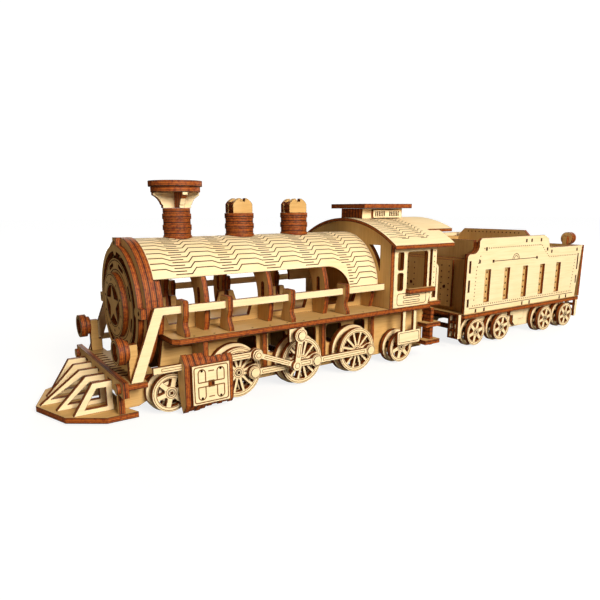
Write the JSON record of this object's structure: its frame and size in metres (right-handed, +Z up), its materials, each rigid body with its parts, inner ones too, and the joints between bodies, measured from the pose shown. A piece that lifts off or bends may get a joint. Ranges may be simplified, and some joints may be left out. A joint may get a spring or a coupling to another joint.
{
  "type": "wooden 3d jigsaw model",
  "caption": "Slot-together plywood model of a steam locomotive with a hitched tender, turning wheels, linked side rods and sliding piston bars, standing free on its wheels.",
  "frame": {"origin": "centre of the footprint's bounding box, at the height of the surface that the wheels stand on", "axes": "+Z up; +X along the train from the nose to the tender; the train's left side is -Y; the X-Z plane is the plane of symmetry"},
  "size_m": [0.446, 0.104, 0.1179],
  "materials": {
    "birch_ply": "3 mm and 2 mm birch plywood, sanded and left unvarnished, with laser-darkened edges",
    "shaded_ply": "3 mm birch plywood structure sheets, unvarnished, slightly warmer than the outer sheets",
    "charred_ply": "stacked plywood layers seen edge on, laser-burnt to orange brown"
  },
  "bodies": {
    "locomotive": {"side_frames": "shaded_ply", "frame_spacers": "shaded_ply", "cowcatcher_plate": "birch_ply", "cowcatcher_bars": "birch_ply", "buffer_beam": "shaded_ply", "front_deck": "shaded_ply", "lamp_posts": "birch_ply", "headlamps": "charred_ply", "smokebox_rings": "charred_ply", "smokebox_front": "shaded_ply", "smokebox_door": "shaded_ply", "boiler_formers": "shaded_ply", "boiler_side_strips": "birch_ply", "boiler_skin": "birch_ply", "chimney_rings": "charred_ply", "chimney_flare": "birch_ply", "chimney_crown": "charred_ply", "front_dome": "charred_ply", "rear_dome": "charred_ply", "running_board": "shaded_ply", "rail_brackets": "shaded_ply", "handrails": "birch_ply", "left_cylinder": "charred_ply", "right_cylinder": "charred_ply", "cylinder_covers": "birch_ply", "lever_hangers": "shaded_ply", "cab_floor": "shaded_ply", "cab_cross_walls": "shaded_ply", "cab_side_walls": "birch_ply", "window_sills": "charred_ply", "cab_roof": "birch_ply", "roof_ventilator": "birch_ply", "ventilator_lid": "charred_ply", "cab_steps": "charred_ply", "cab_side_hangers": "birch_ply", "grab_rails": "birch_ply", "drawbar": "shaded_ply"},
    "front_drivers": {"front_drivers": "birch_ply"},
    "middle_drivers": {"middle_drivers": "birch_ply"},
    "rear_drivers": {"rear_drivers": "birch_ply"},
    "truck_wheels": {"truck_wheels": "birch_ply"},
    "trailing_wheels": {"trailing_wheels": "birch_ply"},
    "left_coupling_rod": {"left_coupling_rod": "birch_ply"},
    "left_piston_bar": {"left_piston_bar": "birch_ply"},
    "left_link": {"left_link": "birch_ply"},
    "left_lever": {"left_lever": "birch_ply"},
    "right_coupling_rod": {"right_coupling_rod": "birch_ply"},
    "right_piston_bar": {"right_piston_bar": "birch_ply"},
    "right_link": {"right_link": "birch_ply"},
    "right_lever": {"right_lever": "birch_ply"},
    "tender": {"tender_floor": "birch_ply", "tender_side_panels": "birch_ply", "tender_inner_panels": "shaded_ply", "tender_cross_walls": "shaded_ply", "tender_rear_wall": "birch_ply", "tender_frames": "birch_ply"},
    "tender_wheels_1": {"tender_wheels_1": "birch_ply"},
    "tender_wheels_2": {"tender_wheels_2": "birch_ply"},
    "tender_wheels_3": {"tender_wheels_3": "birch_ply"},
    "tender_wheels_4": {"tender_wheels_4": "birch_ply"}
  },
  "joints": [
    {"name": "middle_drivers_turn", "type": "hinge", "parent": "locomotive", "child": "middle_drivers", "pos_m": [-0.08363, 0, 0.0153], "axis": [0, 1, 0], "continuous": true},
    {"name": "front_drivers_turn", "type": "hinge", "parent": "locomotive", "child": "front_drivers", "pos_m": [-0.12613, 0, 0.0153], "axis": [0, 1, 0], "continuous": true},
    {"name": "rear_drivers_turn", "type": "hinge", "parent": "locomotive", "child": "rear_drivers", "pos_m": [-0.04113, 0, 0.0153], "axis": [0, 1, 0], "continuous": true},
    {"name": "left_coupling_rod_swing", "type": "hinge", "parent": "middle_drivers", "child": "left_coupling_rod", "pos_m": [-0.07506, -0.0422, 0.01455], "axis": [0, 1, 0], "continuous": true},
    {"name": "right_coupling_rod_swing", "type": "hinge", "parent": "middle_drivers", "child": "right_coupling_rod", "pos_m": [-0.07506, 0.0422, 0.01455], "axis": [0, 1, 0], "continuous": true},
    {"name": "truck_wheels_turn", "type": "hinge", "parent": "locomotive", "child": "truck_wheels", "pos_m": [-0.16503, 0, 0.0113], "axis": [0, 1, 0], "continuous": true},
    {"name": "trailing_wheels_turn", "type": "hinge", "parent": "locomotive", "child": "trailing_wheels", "pos_m": [-0.00203, 0, 0.0113], "axis": [0, 1, 0], "continuous": true},
    {"name": "left_piston_slide", "type": "slide", "parent": "locomotive", "child": "left_piston_bar", "axis": [1, 0, 0], "range_m": [-0.004, 0.004]},
    {"name": "left_link_swing", "type": "hinge", "parent": "left_piston_bar", "child": "left_link", "pos_m": [-0.11873, -0.0476, 0.026], "axis": [0, 1, 0], "range_deg": [-12, 12]},
    {"name": "left_lever_swing", "type": "hinge", "parent": "locomotive", "child": "left_lever", "pos_m": [-0.09183, -0.0498, 0.0335], "axis": [0, 1, 0], "range_deg": [-20, 20]},
    {"name": "right_piston_slide", "type": "slide", "parent": "locomotive", "child": "right_piston_bar", "axis": [1, 0, 0], "range_m": [-0.004, 0.004]},
    {"name": "right_link_swing", "type": "hinge", "parent": "right_piston_bar", "child": "right_link", "pos_m": [-0.11873, 0.0476, 0.026], "axis": [0, 1, 0], "range_deg": [-12, 12]},
    {"name": "right_lever_swing", "type": "hinge", "parent": "locomotive", "child": "right_lever", "pos_m": [-0.09183, 0.0498, 0.0335], "axis": [0, 1, 0], "range_deg": [-20, 20]},
    {"name": "tender_hitch", "type": "hinge", "parent": "locomotive", "child": "tender", "pos_m": [0.06797, 0, 0.021], "axis": [0, 0, 1], "range_deg": [-8, 8]},
    {"name": "tender_wheels_1_turn", "type": "hinge", "parent": "tender", "child": "tender_wheels_1", "pos_m": [0.07697, 0, 0.0113], "axis": [0, 1, 0], "continuous": true},
    {"name": "tender_wheels_2_turn", "type": "hinge", "parent": "tender", "child": "tender_wheels_2", "pos_m": [0.10797, 0, 0.0113], "axis": [0, 1, 0], "continuous": true},
    {"name": "tender_wheels_3_turn", "type": "hinge", "parent": "tender", "child": "tender_wheels_3", "pos_m": [0.16797, 0, 0.0113], "axis": [0, 1, 0], "continuous": true},
    {"name": "tender_wheels_4_turn", "type": "hinge", "parent": "tender", "child": "tender_wheels_4", "pos_m": [0.19897, 0, 0.0113], "axis": [0, 1, 0], "continuous": true}
  ],
  "couplings": [
    {"joint": "front_drivers_turn", "follows": "middle_drivers_turn", "ratio": 1},
    {"joint": "rear_drivers_turn", "follows": "middle_drivers_turn", "ratio": 1},
    {"joint": "left_coupling_rod_swing", "follows": "middle_drivers_turn", "ratio": -1},
    {"joint": "right_coupling_rod_swing", "follows": "middle_drivers_turn", "ratio": -1},
    {"joint": "left_link_swing", "follows": "left_piston_slide", "rad_per_m": 5.76},
    {"joint": "left_lever_swing", "follows": "left_piston_slide", "rad_per_m": -55.61},
    {"joint": "right_link_swing", "follows": "right_piston_slide", "rad_per_m": 5.76},
    {"joint": "right_lever_swing", "follows": "right_piston_slide", "rad_per_m": -55.61}
  ]
}
